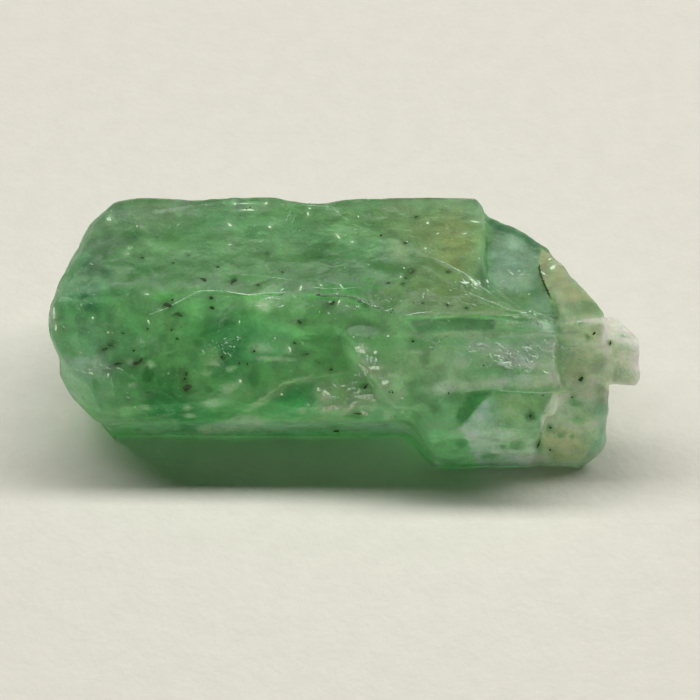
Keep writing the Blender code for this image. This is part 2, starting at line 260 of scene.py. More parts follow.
# Patches of colour with a crisp, straight-sided edge: the softness of the edge in pixels, and the outline.
Pane = namedtuple("Pane", "soft strength clarity colour outline")
PANES = rows(
    Pane,
    fan=(1.5, 0.5, 0.6, (94, 132, 72), ((431, 258), (474, 283), (496, 298), (558, 322), (494, 316),
        (419, 318), (383, 306), (361, 296), (385, 288))),
    white_triangle=(2.5, 0.6, 0.5, (96, 142, 92), ((250, 296), (292, 293), (285, 300), (268, 312),
        (259, 309))),
    # Painted shade: the dark band in the recess under the step.
    under_step=(1.5, 0.8, 0.4, (56, 92, 56), ((408, 320), (494, 318), (494, 330), (460, 330), (436, 332),
        (420, 334))),
    window=(3.0, 0.7, 0.7, (114, 154, 116), ((492, 246), (500, 238), (516, 240), (533, 247), (537, 280),
        (533, 290), (515, 296), (497, 292), (488, 270))),
    plate=(1.0, 0.95, 0.6, (128, 150, 102), ((541, 248), (556, 258), (574, 271), (593, 289), (600, 300),
        (606, 316), (560, 319), (558, 303), (552, 302), (547, 291), (541, 277), (539, 262))),
    plate_green=(2.5, 0.8, 0.6, (100, 138, 90), ((560, 318), (566, 304), (585, 299), (600, 303),
        (606, 316))),
    tongue_root=(2.0, 0.9, 0.12, (204, 220, 184), ((560, 322), (606, 317), (600, 345), (606, 360),
        (603, 388), (588, 380), (570, 352))),
    tongue=(1.5, 0.95, 0.1, (226, 234, 202), ((604, 314), (620, 319), (640, 335), (642, 388), (606, 391),
        (603, 380), (606, 360), (599, 340))),
    chunk_body=(1.5, 0.7, 0.4, (126, 168, 128), ((489, 393), (552, 394), (543, 416), (539, 441),
        (545, 468), (478, 468), (470, 445), (461, 427))),
    chunk_window=(1.2, 0.9, 0.2, (178, 206, 168), ((552, 396), (575, 391), (595, 398), (600, 415),
        (598, 440), (588, 454), (575, 468), (548, 468), (541, 441), (543, 416))),
    chunk_rim=(2.5, 0.7, 0.4, (118, 158, 126), ((593, 403), (611, 404), (611, 430), (596, 456),
        (582, 466), (587, 452), (597, 436))),
    dark_triangle=(1.2, 0.95, 0.6, (54, 108, 56), ((470, 392), (489, 393), (478, 406), (461, 427),
        (455, 416))),
    chunk_lens=(1.5, 0.95, 0.45, (88, 152, 92), ((430, 431), (450, 430), (466, 440), (479, 468),
        (446, 468), (430, 458), (422, 444))),
    corner=(1.5, 0.6, 0.7, (90, 144, 94), ((146, 419), (175, 420), (181, 431), (180, 438), (110, 438),
        (104, 426))),
    low_green=(3.0, 0.5, 0.6, (22, 84, 40), ((148, 392), (170, 388), (182, 402), (186, 414), (222, 410),
        (222, 420), (204, 425), (196, 432), (181, 432), (176, 420), (158, 418), (150, 405))),
    below_crack=(3.0, 0.5, 0.6, (46, 106, 56), ((206, 316), (238, 320), (256, 328), (244, 350),
        (236, 362), (224, 372), (220, 352), (205, 340))),
    belly_green=(2.5, 0.5, 0.6, (40, 104, 56), ((256, 408), (270, 400), (290, 392), (312, 384),
        (316, 402), (300, 418), (272, 420), (262, 416))),
    lower_lens=(1.5, 0.6, 0.3, (136, 188, 132), ((222, 424), (236, 417), (250, 414), (264, 418),
        (266, 428), (246, 431), (226, 430))),
    low_left_facet=(1.5, 0.5, 0.5, (100, 158, 108), ((140, 421), (176, 420), (182, 436), (140, 437))),
    rim_patch=(1.5, 0.7, 0.2, (150, 196, 146), ((196, 427), (218, 425), (221, 433), (199, 435))),
    hatched_slope=(2.0, 0.5, 0.4, (112, 156, 96), ((200, 352), (212, 346), (221, 350), (221, 367),
        (210, 368), (201, 364))),
    flake_blue_high=(1.0, 0.9, 0.1, (156, 238, 156), ((355, 345), (363, 343), (369, 349), (367, 356),
        (358, 357))),
    flake_blue=(1.0, 0.95, 0.08, (166, 242, 160), ((357, 361), (367, 358), (373, 366), (385, 366),
        (379, 374), (375, 379), (365, 374), (359, 369))),
    flake_blue_right=(1.2, 0.9, 0.12, (150, 228, 148), ((381, 377), (390, 374), (404, 376), (403, 386),
        (396, 393), (388, 388), (382, 387))),
    crumbly_olive=(1.5, 0.7, 0.4, (96, 132, 70), ((328, 386), (344, 388), (352, 394), (348, 402),
        (334, 402), (328, 396))),
    flake_cream=(0.8, 0.95, 0.05, (200, 226, 174), ((317, 387), (329, 393), (328, 400), (321, 402),
        (319, 395))),
    flake_cream_low=(0.8, 0.95, 0.05, (194, 222, 170), ((321, 404), (327, 403), (331, 406), (341, 403),
        (341, 408), (331, 411), (324, 412))),
    flake_cream_middle=(0.8, 0.95, 0.05, (198, 224, 172), ((347, 405), (357, 402), (361, 404), (352, 409),
        (348, 413), (344, 411))),
    flake_cream_right=(0.8, 0.95, 0.05, (190, 220, 166), ((351, 394), (360, 390), (366, 394), (376, 395),
        (373, 401), (357, 403), (352, 399))),
    crumbly_dark=(1.2, 0.9, 0.7, (34, 84, 24), ((354, 406), (362, 408), (368, 416), (352, 418),
        (344, 417))),
    chunk_facet=(1.2, 0.85, 0.2, (152, 192, 160), ((486, 400), (492, 412), (500, 428), (512, 430),
        (520, 444), (533, 440), (540, 452), (530, 467), (480, 466), (470, 445), (461, 427))),
    chunk_olive=(2.0, 0.5, 0.4, (116, 150, 92), ((492, 394), (520, 394), (545, 397), (541, 412),
        (520, 420), (505, 415), (498, 404))),
    window_bright=(1.0, 0.85, 0.1, (178, 208, 166), ((553, 397), (562, 398), (572, 410), (574, 424),
        (560, 420), (548, 432), (541, 432), (541, 420), (545, 408))),
    window_olive=(2.0, 0.6, 0.3, (150, 170, 112), ((548, 430), (560, 424), (576, 430), (588, 450),
        (576, 462), (556, 458), (543, 448), (541, 438))),
)

# Dark specks of mica, and pale crumbs with two painted highlights: centre, length and width in pixels, and
# turn in degrees.
Spot = namedtuple("Spot", "column row length width turn", defaults=(0,))
DARK_SPECKS = rows(
    Spot,
    long_left=(168, 305, 11, 4.5, 5), long_left_low=(178, 315, 10, 5, 5), upper=(203, 280, 7, 4.5, 15),
    upper_big=(233, 281, 8, 5, -25), on_crack=(211, 298, 6, 3.5), under_crack=(212, 308, 7, 3.5, 5),
    upper_right=(258, 285, 4, 3), upper_right_small=(282.5, 272, 4, 2.5), blackest=(300, 322, 6.5, 4, 30),
    brown_long=(330.5, 303.5, 8.5, 4, -15), dash=(387, 283, 8, 2.2), dash_right=(403, 284, 5, 3, -10),
    dash_right_high=(406, 277.5, 5, 4, 15), olive_spot=(405, 243, 6.5, 3.5),
    over_fan=(412, 272, 5, 5, 40), fan_edge=(448, 272, 5, 2.5), fan_low=(422.5, 303, 3.5, 3),
    fan_hook=(447, 305, 5.5, 2.5, 50), fan_right=(466, 308, 4, 2.5), by_hook=(413, 341, 3.2, 3),
    deep_one=(254, 351, 3, 3), brown_black_big=(188, 388, 10, 8.5, 10), brown_black_tail=(185, 379, 4, 3),
    left_triangle=(136, 364.5, 12, 7.5, -30), left_triangle_tip=(140, 360, 6, 5, -60),
    left_long=(118, 364.5, 9, 4.5, -15), left_dash=(104, 349, 7, 3, -10),
    left_dash_high=(111, 345, 8, 5, 30), left_dot=(134, 351, 3.5, 3.5), mid_dot=(177, 339, 3.5, 3.8),
    green_dot_left=(222, 357, 3, 3.2), green_dot=(239, 363, 3, 2.8), green_dot_right=(247, 364.5, 3, 3),
    tail_high=(186, 374, 2.8, 4), belly_dot=(331, 370, 3.8, 3.6), belly_dot_high=(318, 362, 4.5, 3),
    rim_black=(336, 431, 6, 4.5, -10), crumbly_green=(358, 414, 10, 5),
    crumbly_brown=(366, 386.5, 9, 4.5, -10), tongue_dash=(588, 337, 4.5, 2.5, 55),
    tongue_dot=(610, 343, 3.5, 3), ledge_brown=(581, 379, 4.5, 5.5, 20), ledge_dot=(572, 397.5, 3.5, 2.5),
    facet_foot=(538, 445, 4.5, 5, 20), chunk_low=(550, 450, 3.8, 3.8),
    chunk_high=(531, 416.5, 5, 3.5, 20), chunk_dash=(550, 427.5, 4, 2.5, 30), rim_left=(138, 430, 4, 2.5),
    dot_top_left=(142, 258, 4, 4, 40), dot_top_middle=(188, 255.5, 3.8, 3.6),
    dot_top_low=(173, 263, 4, 2.2), dot_top_right=(218, 267, 4.5, 2.2), dot_soft=(267, 253, 5, 3),
    dot_face=(147, 329, 4.5, 2.8), dot_face_left=(123, 333, 3.5, 2.5), dot_centre=(295, 343, 5, 3),
    dot_centre_low=(307, 354, 6, 2.5), dot_olive=(416, 217, 4.5, 2.8, -20),
)
PALE_CRUMBS_AND_GLINTS = rows(
    Spot,
    cream_top=(109.5, 219, 6, 6), pair_high=(129, 248, 3, 2.5), pair_low=(127, 254, 4, 3),
    over_speck=(147, 294, 6, 3, 5), star=(230, 225, 6, 4, 30), star_low=(230, 244.5, 3, 2.5),
    far_left=(93, 318, 3, 5), far_left_low=(149, 322, 5, 3, 45), top_crumb=(270, 227, 3.5, 3.5),
    bright=(338, 236, 5.5, 3.5, 50), bright_right=(352, 242, 4.5, 2), crack_star=(321, 285, 3.5, 3),
    crack_dash=(301, 288, 3, 6, 20), crack_blob=(340, 292, 6, 3), crack_blob_low=(339, 302, 4, 8),
    right_top=(428, 223, 4.5, 3.5, 30), right_dash=(425, 248.5, 4.5, 2.5, 10),
    mid_bright=(401, 277, 3, 3), white_drop=(375.5, 352, 4, 5), white_drop_high=(388, 336, 3.2, 3.2),
    corner_dash=(473, 221.5, 13, 2.2, 8), yellow_dash=(464.5, 234, 8, 3, -10),
    big_cloud_star=(240, 381, 4.5, 5), belly_star_right=(308, 405, 2.5, 3),
    belly_tick=(290, 349, 3, 7, -15), belly_dash=(281, 394, 5, 2.5), right_star=(402, 411, 4, 3),
    # Painted highlights: the plate and tongue glints below are pale chips set where the light shines.
    low_dash=(546, 372, 7, 2.6, 15), plate_glint=(580, 322, 6.5, 3), tongue_glint=(625, 335, 9, 3, 12),
    chip_star=(91, 373, 5, 4), chip_star_right=(108, 374, 3, 6), chip_star_high=(81, 353, 5, 2.5, 30),
    left_streak_high=(54, 314, 3.5, 16, -4), left_streak_low=(55.5, 328, 3.5, 10, -6),
    rim_dash_left=(235, 204, 5, 4), rim_dash=(248, 210, 22, 2.6), rim_dash_thin=(247, 203.5, 20, 1.8),
    rim_tick=(266, 203, 4, 5, 10), rim_tick_right=(308, 214, 3.5, 6, 15),
    flake_left=(325, 394, 14, 11, 20), flake_left_top=(318, 389, 6, 5, 40), flake_low=(333, 406, 18, 9),
    flake_low_left=(324, 409, 4, 8, 10), flake_middle=(352, 406, 17, 8.5, -30),
    flake_long=(362, 396, 26, 9, -4), flake_end=(371, 398, 11, 10, 60),
    blue_chip_high=(361, 349, 12, 9, 20), blue_chip=(364, 367, 20, 9, 40),
    blue_chip_right=(376, 368, 16, 7, 10), blue_chip_low=(385, 382, 8, 9),
    flake_high=(358, 391, 7, 5, -40), flake_tail=(363, 411, 13, 4.5, 45), flake_crown=(343, 386, 6, 3),
    flake_crown_right=(349, 389, 5, 4), ridge_bright=(474, 283, 13, 4.5, 40),
    plate_cloud=(572, 277, 4, 8, -20), plate_crumb=(553, 268, 5, 9, 15),
)

# Pale clouds and dark stains just under the surface, with no piece of their own.
PALE_CLOUDS = rows(
    Spot,
    left=(129, 361.5, 8, 5.5, 10), left_right=(151, 365, 8, 5, 25), left_low=(132, 385, 4.5, 4),
    left_high=(141, 342, 5, 4, 30), mid=(205, 373, 9, 5, 10), mid_slope=(214, 363, 9, 6),
    big=(227, 389, 13, 9, -10), big_right=(236, 385, 8, 4, -40), big_high=(231, 369, 9, 4, -20),
    scratch=(247, 393, 9, 2.6, 35), low=(187, 408, 6, 5), low_dash=(190, 415.5, 10, 3.5, 5),
    low_right=(212, 404, 14, 6), low_left=(144, 407, 9, 4, 10), belly=(260, 347, 18, 8, 5),
    belly_streak=(278, 359, 30, 4, 2), belly_tick=(288, 349, 5, 8, -20), belly_arc=(268, 397, 40, 6, -34),
    belly_arc_end=(298, 381, 26, 5, -10), belly_star=(302, 411, 7, 5), rim=(152, 434, 30, 3.5),
    right_streak=(416, 352, 16, 3, 3), right_crumb=(388, 415, 7, 9), crack_star=(262, 306, 12, 7, 40),
    chunk_high=(512, 411, 8, 6), chunk_middle=(527, 424, 14, 6), chunk_point=(464, 430, 10, 4),
    window_white=(582, 411, 20, 9, 12), window_ring=(590, 432, 12, 10),
)
DARK_STAINS = rows(
    Spot,
    left_low=(148, 375, 8, 9, 20), left_low_right=(153, 371, 6, 5, -30), slope=(212, 366.5, 8, 3),
    slope_low=(215, 376, 7, 4, -20), mid=(209, 389, 8, 6, 20), belly=(254, 378, 9, 15, 10),
    high=(245, 315, 6, 9), high_left=(203, 335, 8, 5, -20), dot=(216, 330, 4, 3.5),
    dot_high=(226, 324, 3.5, 3.5), left_dot=(163, 339, 4, 6), left_dash=(170, 355.5, 9, 3.5),
    cloud_edge=(197, 343, 8, 7), low_line=(150, 419, 34, 3, 3), chip=(95, 384, 5, 10, -10),
    lens=(462, 444, 10, 7), hollow=(433, 408, 9, 7), chunk_low_left=(489, 456, 12, 6),
    chunk_low=(503, 447, 5, 5), chunk_blue=(517, 445, 16, 7), chunk_high=(531, 415, 9, 9),
    window_brown=(561, 436, 6, 4), window_brown_right=(572, 436, 4, 4),
    window_brown_left=(550, 428, 6, 6, 20), window_olive=(578, 420, 12, 6),
    window_high=(576, 403, 12, 6, 10),
)

# How a spot is painted: half length and half width for each pixel of its own, and a zone's last four values.
SpotLook = namedtuple("SpotLook", "length width softness strength clarity colour")
SPECK_HALO = SpotLook(0.75, 0.9, 0.8, 0.6, 0.7, (52, 92, 44))
# Crumbs and painted highlights alike get a pale halo.
CRUMB_AND_GLINT_HALO = SpotLook(0.8, 1.0, 0.8, 0.5, 0.6, (142, 176, 134))
CLOUD = SpotLook(0.6, 0.6, 0.6, 0.75, 0.25, (156, 194, 146))
STAIN = SpotLook(0.6, 0.6, 0.6, 0.6, 0.7, (44, 98, 48))

# Places where the surface is shattered into slivers: centre, half length and half width of the place, turn
# of the slivers, how many there are, and how long one is in pixels.
Patch = namedtuple("Patch", "column row length width turn count sliver")
SHATTERED = rows(
    Patch,
    glossy_left=(482, 347, 24, 10, 15, 60, 5), glossy_middle=(517, 358, 30, 13, 25, 110, 6),
    glossy_right=(550, 349, 26, 13, 20, 80, 5), under_band=(440, 341, 34, 9, 5, 40, 4),
    white_triangle=(268, 300, 26, 9, -10, 60, 3), chip_patch=(92, 370, 26, 10, 10, 50, 3.5),
    crumbly=(346, 398, 36, 20, 0, 70, 4), crumbly_right=(392, 392, 18, 24, 60, 40, 3.5),
    blue_patch=(368, 367, 9, 18, 55, 40, 5), mid_slope=(221, 352, 16, 20, 50, 50, 3),
    crack_right=(340, 300, 40, 14, 20, 40, 2.5), crack_far_right=(378, 304, 28, 9, 20, 30, 3),
    fan=(450, 290, 44, 24, 25, 45, 3), ridge=(474, 283, 20, 9, 38, 34, 4),
    top_right=(420, 240, 60, 36, 0, 40, 2.5), window_clouds=(514, 274, 26, 24, 30, 30, 3.5),
    low_step=(535, 320, 44, 8, 10, 50, 4.5), tongue=(622, 355, 16, 28, 60, 20, 4),
    chunk_window=(585, 422, 24, 24, 40, 40, 3), chunk=(500, 420, 60, 30, 10, 40, 3),
    left_end=(80, 300, 34, 70, 30, 40, 3), top_left=(150, 225, 60, 20, 0, 30, 2.5),
    lower_left=(150, 415, 60, 20, 5, 35, 3),
)


# ---- noise

# A noise: the size of its largest cells in millimetres, one number or one for each axis, its seed, how many
# octaves it has, and how strong it is.
Noise = namedtuple("Noise", "size seed octaves strength", defaults=(3, 1.0))

# Cells round jittered points: their size in millimetres along each axis, and the seed.
Cells = namedtuple("Cells", "size seed")

# How many numbers a shuffled table holds, a power of two; what brings noise to about -1 to 1; how far apart
# octaves lie, so that they don't line up; and more cells away than any point's nearest cell.
SHUFFLED = 256
NOISE_GAIN = 1.6
OCTAVE_SHIFT = 17.3
FAR_CELLS = 9.0


def shuffled_number(table, cell):
    """A number from 0 to 255 for each cell, always the same for the same cell."""
    number = np.zeros(len(cell), np.int64)
    for axis in range(3):
        number = table[(number + cell[:, axis]) & (SHUFFLED - 1)]
    return number


def gradient_noise(points, seed):
    """Perlin noise with cells of size 1, from about -1 to 1."""
    draw = np.random.default_rng(seed)
    table = draw.permutation(SHUFFLED)
    slopes = draw.normal(size=(SHUFFLED, 3))
    slopes /= np.linalg.norm(slopes, axis=1)[:, None]
    cell = np.floor(points).astype(np.int64)
    inside = points - cell
    fade = inside**3 * (inside * (inside * 6 - 15) + 10)
    total = np.zeros(len(points))
    for corner in itertools.product((0, 1), repeat=3):
        number = shuffled_number(table, cell + corner)
        weight = np.prod(np.where(np.array(corner) == 1, fade, 1 - fade), axis=1)
        total += weight * np.einsum("ij,ij->i", slopes[number], inside - corner)
    return total * NOISE_GAIN


def fractal(points, noise):
    """A noise summed over its octaves, each half as large and half as strong as the one before it."""
    total = np.zeros(len(points))
    weight = 1.0
    whole = 0.0
    scaled = points / np.asarray(noise.size)
    for octave in range(noise.octaves):
        total += weight * gradient_noise(scaled * 2**octave + OCTAVE_SHIFT * octave, noise.seed + octave)
        whole += weight
        weight /= 2
    return noise.strength * (total / whole)


def bent(points, noise):
    """The points moved by a noise, so that what is made from them isn't straight."""
    moves = [fractal(points, noise._replace(seed=noise.seed + axis)) for axis in range(3)]
    return points + np.stack(moves, axis=1)


def nearest_cells(points, cells):
    """Distance to the nearest and second nearest cell, and a number from 0 to 1 for the nearest."""
    draw = np.random.default_rng(cells.seed)
    table = draw.permutation(SHUFFLED)
    jitter = draw.random((SHUFFLED, 3))
    worth = draw.random(SHUFFLED)
    scaled = points / np.asarray(cells.size)
    cell = np.floor(scaled).astype(np.int64)
    nearest = np.full(len(points), FAR_CELLS)
    second = np.full(len(points), FAR_CELLS)
    number = np.zeros(len(points))
    for step in itertools.product((-1, 0, 1), repeat=3):
        there = cell + step
        index = shuffled_number(table, there)
        distance = np.linalg.norm(scaled - (there + jitter[index]), axis=1)
        closer = distance < nearest
        second = np.where(closer, nearest, np.minimum(second, distance))
        number = np.where(closer, worth[index], number)
        nearest = np.where(closer, distance, nearest)
    return nearest, second, number


def smoothstep(low, high, value):
    """0 at low, 1 at high, smooth between them. low may be the larger of the two."""
    share = np.clip((value - low) / (high - low), 0, 1)
    return share * share * (3 - 2 * share)


# ---- picture

# On a slanted face a pixel spans more of the stone. It counts for at most this many plain ones.
MOST_STRETCH = 1.6


def project(points):
    """Pixel column and pixel row of points."""
    offset = points - EYE
    depth = -offset @ BACK
    column = PICTURE / 2 + FOCAL_PIXELS * (offset @ RIGHT) / depth
    row = PICTURE / 2 - FOCAL_PIXELS * (offset @ UP) / depth
    return column, row


def view_ray(column, row):
    across = (column - PICTURE / 2) / FOCAL_PIXELS
    above = (PICTURE / 2 - row) / FOCAL_PIXELS
    ray = RIGHT * across + UP * above - BACK
    return ray / np.linalg.norm(ray)


def lie(tree, column, row, turn):
    """Where a small piece lies on the stone at a pixel: point, normal, its long way and millimetres a pixel.

    None where the pixel is beside the stone.
    """
    hit, outward, _, _ = tree.ray_cast(Vector(EYE), Vector(view_ray(column, row)))
    if hit is None:
        return None
    point, normal = np.array(hit), np.array(outward)
    angle = math.radians(turn)
    ray = view_ray(column + math.cos(angle), row + math.sin(angle))
    meeting = EYE + ray * ((point - EYE) @ normal) / (ray @ normal)
    along = meeting - point
    scale = np.linalg.norm(along)
    return point, normal, along / scale, min(scale, MOST_STRETCH / PIXELS_PER_MM)


# ---- meshes

VOXEL = 0.06
WELD = 0.001
MOST_TRIANGLES = 190_000


def mesh_arrays(mesh):
    points = np.empty(len(mesh.vertices) * 3, np.float32)
    mesh.vertices.foreach_get("co", points)
    normals = np.empty(len(mesh.vertices) * 3, np.float32)
    mesh.vertex_normals.foreach_get("vector", normals)
    return points.reshape(-1, 3).astype(float), normals.reshape(-1, 3).astype(float)


def edge_ends(mesh):
    edges = np.empty(len(mesh.edges) * 2, np.int32)
    mesh.edges.foreach_get("vertices", edges)
    return edges.reshape(-1, 2)


def set_points(mesh, points):
    mesh.vertices.foreach_set("co", points.astype(np.float32).ravel())
    mesh.update()


def evaluated_copy(obj, name):
    """A new mesh of the object with its modifiers applied."""
    bpy.context.view_layer.update()
    graph = bpy.context.evaluated_depsgraph_get()
    mesh = bpy.data.meshes.new_from_object(obj.evaluated_get(graph))
    mesh.name = name
    return mesh


def new_object(name, data):
    obj = bpy.data.objects.new(name, data)
    bpy.context.scene.collection.objects.link(obj)
    return obj


def fine_mesh(node):
    """The CAD crystal's shape in millimetres, as an even mesh of small quads."""
    coarse = node.data.copy()
    points, _ = mesh_arrays(coarse)
    set_points(coarse, points / MM)
    rough = new_object("rough", coarse)
    weld = rough.modifiers.new("weld", "WELD")
    weld.merge_threshold = WELD
    remesh = rough.modifiers.new("remesh", "REMESH")
    remesh.mode = "VOXEL"
    remesh.voxel_size = VOXEL
    fine = evaluated_copy(rough, "fine")
    bpy.data.objects.remove(rough)
    return fine


def thinned(mesh, most_triangles):
    """The mesh as triangles, with the fewest where it is flattest."""
    mesh.calc_loop_triangles()
    obj = new_object("thinned", mesh)
    decimate = obj.modifiers.new("decimate", "DECIMATE")
    decimate.ratio = min(1.0, most_triangles / len(mesh.loop_triangles))
    decimate.use_collapse_triangulate = True
    result = evaluated_copy(obj, "thinned")
    bpy.data.objects.remove(obj)
    return result


# ---- relief

# Heights and reaches are in millimetres outwards. A pair is where a share is 0 and where it is 1.
UNDERSIDE_TILT = (0.5, 0.9)
UNDERSIDE_HEIGHT = (0.25, 0.05)
BROKEN_TILT = (0.35, 0.75)
HIDDEN_TILT = (0.1, -0.3)

LITTLE_WEAR = 10
MUCH_WEAR = 80
RELAX_SHARE = 0.7
WEAR = Noise(1.7, 101)
WEAR_EDGE = (-0.35, 0.35)
LEAST_WORN = 0.25
MORE_WORN = 0.6
LEFT_END_WORN = (-5.5, -8.0)
TIP_KEPT = (9.2, 8.4)
FOOT_KEPT = (-0.2, 0.9)

WAVES = Noise((3.4, 2.2, 2.2), 11, 3, 0.11)
WAVE_RISE = 0.07
BOWLS = Cells((2.6, 1.7, 1.7), 31)
BOWL_BENDS = Noise(1.8, 21, 3, 0.6)
BOWL_DEPTH = 0.22
BOWLS_ON_FACES = 0.45
TERRACES = Noise((1.6, 0.8, 0.8), 41)
TERRACES_A_UNIT = 5
TERRACE_HEIGHT = 0.008
TERRACE_SLOPE = 0.01
CHIPS = Cells((0.95, 0.6, 0.6), 51)
CHIP_BENDS = Noise(0.7, 45, 2, 0.25)
CHIP_DEPTH = 0.035
GRAIN = Noise(0.25, 71, 3, 0.012)
ROUGH_PLACES = Noise(2.2, 61, 2)
ROUGH_EDGE = (0.0, 0.4)
ROUGHER_ENDS = 0.5
LEAST_ROUGH = 0.25
STRIAE = Noise((5.0, 0.4, 0.4), 75, 3, 0.04)
RIDGE_WEAR = Noise(1.3, 97, 2, 0.9)

# In pixels: how far a crack's sunken side reaches, how it tapers at its ends, and how it wanders.
SUNK_REACH = 26.0
SUNK_MARGIN = 3 * SUNK_REACH
CRACK_TAPER = 14.0
CRACK_WANDER = Noise(0.35, 91, 2, 1.3)
CRACK_FACING = (0.05, 0.3)
FAR_PIXELS = 1e6


def relaxed(points, edges, rounds):
    """Each point moved towards the mean of its neighbours, again and again."""
    count = len(points)
    ends = np.concatenate([edges[:, 0], edges[:, 1]])
    others = np.concatenate([edges[:, 1], edges[:, 0]])
    degree = np.bincount(ends, minlength=count)[:, None]
    for _ in range(rounds):
        sums = np.stack([np.bincount(ends, points[others, axis], count) for axis in range(3)], axis=1)
        points = points + RELAX_SHARE * (sums / degree - points)
    return points


def flat_share(points, normals):
    """1 on the flat underside, where the stone lies and keeps its shape, 0 elsewhere."""
    return smoothstep(*UNDERSIDE_TILT, -normals[:, 2]) * smoothstep(*UNDERSIDE_HEIGHT, points[:, 2])


def broken_share(normals):
    """1 on the broken ends of the crystal, 0 on its long faces."""
    return smoothstep(*BROKEN_TILT, np.abs(normals[:, 0]))


def worn(mesh):
    """Edges rounded by wear: little in some places, much in others and at the left end."""
    points, normals = mesh_arrays(mesh)
    edges = edge_ends(mesh)
    little = relaxed(points, edges, LITTLE_WEAR)
    much = relaxed(little, edges, MUCH_WEAR)
    share = LEAST_WORN + MORE_WORN * smoothstep(*WEAR_EDGE, fractal(points, WEAR))
    share = np.maximum(share, smoothstep(*LEFT_END_WORN, points[:, 0]))
    share *= 1 - flat_share(points, normals)
    share *= smoothstep(*TIP_KEPT, points[:, 0])
    share *= smoothstep(*FOOT_KEPT, points[:, 2])
    set_points(mesh, little + (much - little) * share[:, None])


def bowls(points, cells):
    """Shallow bowls with sharp rims, as knapping leaves: about -0.5 in a bowl to 0.5 on a rim."""
    nearest, _, _ = nearest_cells(points, cells)
    return nearest**2 - 0.5


def broad_relief(points, normals):
    """The stone's slow waves and the big bowls of its fractures."""
    share = BOWLS_ON_FACES + (1 - BOWLS_ON_FACES) * broken_share(normals)
    return WAVE_RISE + fractal(points, WAVES) + BOWL_DEPTH * share * bowls(bent(points, BOWL_BENDS), BOWLS)


def fine_relief(points, normals):
    """Growth striations along the prism, step fractures and small chips."""
    steps = fractal(points, TERRACES)
    terraces = TERRACE_HEIGHT * np.floor(steps * TERRACES_A_UNIT) + TERRACE_SLOPE * steps
    chips = CHIP_DEPTH * bowls(bent(points, CHIP_BENDS), CHIPS)
    broken = broken_share(normals)
    rough = smoothstep(*ROUGH_EDGE, fractal(points, ROUGH_PLACES) + ROUGHER_ENDS * broken)
    hidden_prism = smoothstep(*HIDDEN_TILT, normals @ BACK) * (1 - broken)
    striae = hidden_prism * fractal(points, STRIAE)
    rough_share = LEAST_ROUGH + (1 - LEAST_ROUGH) * rough
    return terraces + striae + (chips + fractal(points, GRAIN)) * rough_share


def outline_relief(points, _):
    """The worn long edges, and the dents and swellings."""
    height = np.zeros(len(points))
    for ridge in WORN_RIDGES.values():
        start, way = np.array(ridge.start), np.subtract(ridge.end, ridge.start)
        share = np.clip((points - start) @ way / (way @ way), 0, 1)
        distance = np.linalg.norm(points - start - share[:, None] * way, axis=1) / ridge.reach
        height += ridge.height * np.exp(-(distance**2)) * (1 + fractal(points, RIDGE_WEAR))
    for swelling in SWELLINGS.values():
        distance = np.linalg.norm(points - swelling.centre, axis=1) / swelling.reach
        height += swelling.height * np.exp(-(distance**2))
    return height


def along_path(column, row, path):
    """Distance from a path on the picture, signed plus below it, and the distance to its nearer end."""
    best = np.full(len(column), FAR_PIXELS)
    side = np.ones(len(column))
    for (start_column, start_row), (end_column, end_row) in itertools.pairwise(path):
        across, down = end_column - start_column, end_row - start_row
        length = math.hypot(across, down)
        share = ((column - start_column) * across + (row - start_row) * down) / length**2
        share = np.clip(share, 0, 1)
        left = column - start_column - share * across
        under = row - start_row - share * down
        distance = np.hypot(left, under)
        closer = distance < best
        best = np.where(closer, distance, best)
        side = np.where(closer, np.sign(under * across - left * down), side)
    to_ends = [np.hypot(column - path[end][0], row - path[end][1]) for end in (0, -1)]
    return best * side, np.minimum(*to_ends)


def seen_near(column, row, facing, places, margin):
    """Which points face the camera and show within a margin of the box round some places on the picture."""
    low, high = np.min(places, axis=0) - margin, np.max(places, axis=0) + margin
    in_box = (column > low[0]) & (column < high[0]) & (row > low[1]) & (row < high[1])
    return np.flatnonzero(in_box & (facing > 0))


def crack_relief(points, normals):
    """The sunken sides of the cracks, on the faces that the camera sees."""
    column, row = project(points)
    wander = fractal(points, CRACK_WANDER)
    height = np.zeros(len(points))
    facing = smoothstep(*CRACK_FACING, normals @ BACK)
    for crack in CRACKS.values():
        index = seen_near(column, row, facing, crack.path, SUNK_MARGIN)
        distance, to_end = along_path(column[index] + wander[index], row[index] + wander[index], crack.path)
        taper = smoothstep(0, CRACK_TAPER, to_end)
        below = np.where(distance > 0, np.exp(-distance / SUNK_REACH), 0)
        height[index] -= crack.drop * taper * below * facing[index]
    return height


def carve(mesh, *reliefs):
    points, normals = mesh_arrays(mesh)
    height = sum(relief(points, normals) for relief in reliefs) * (1 - flat_share(points, normals))
    points += normals * height[:, None]
    points[:, 2] = np.maximum(points[:, 2], 0.0)
    set_points(mesh, points)


def carved_mesh(node):
    mesh = fine_mesh(node)
    worn(mesh)
    carve(mesh, broad_relief, outline_relief)
    carve(mesh, fine_relief, crack_relief)
    return thinned(mesh, MOST_TRIANGLES)


# ---- colour

BODY_GREEN = (87, 136, 83)
BODY_CLARITY = 0.72

# The stone's right end is paler than its body, and the tip paler still: the colour, how clear the stone is,
# where along X in millimetres the colour begins and is full, how uneven its edge is, and how strong it is.
PaleEnd = namedtuple("PaleEnd", "colour clarity reach edge strength")
PALE_ENDS = rows(
    PaleEnd,
    end=((156, 180, 142), 0.92, (5.6, 7.8), Noise(1.6, 115, 3, 0.9), 1.0),
    tip=((204, 216, 180), 0.5, (8.0, 9.2), Noise(0.9, 116, 3, 0.4), 0.8),
)

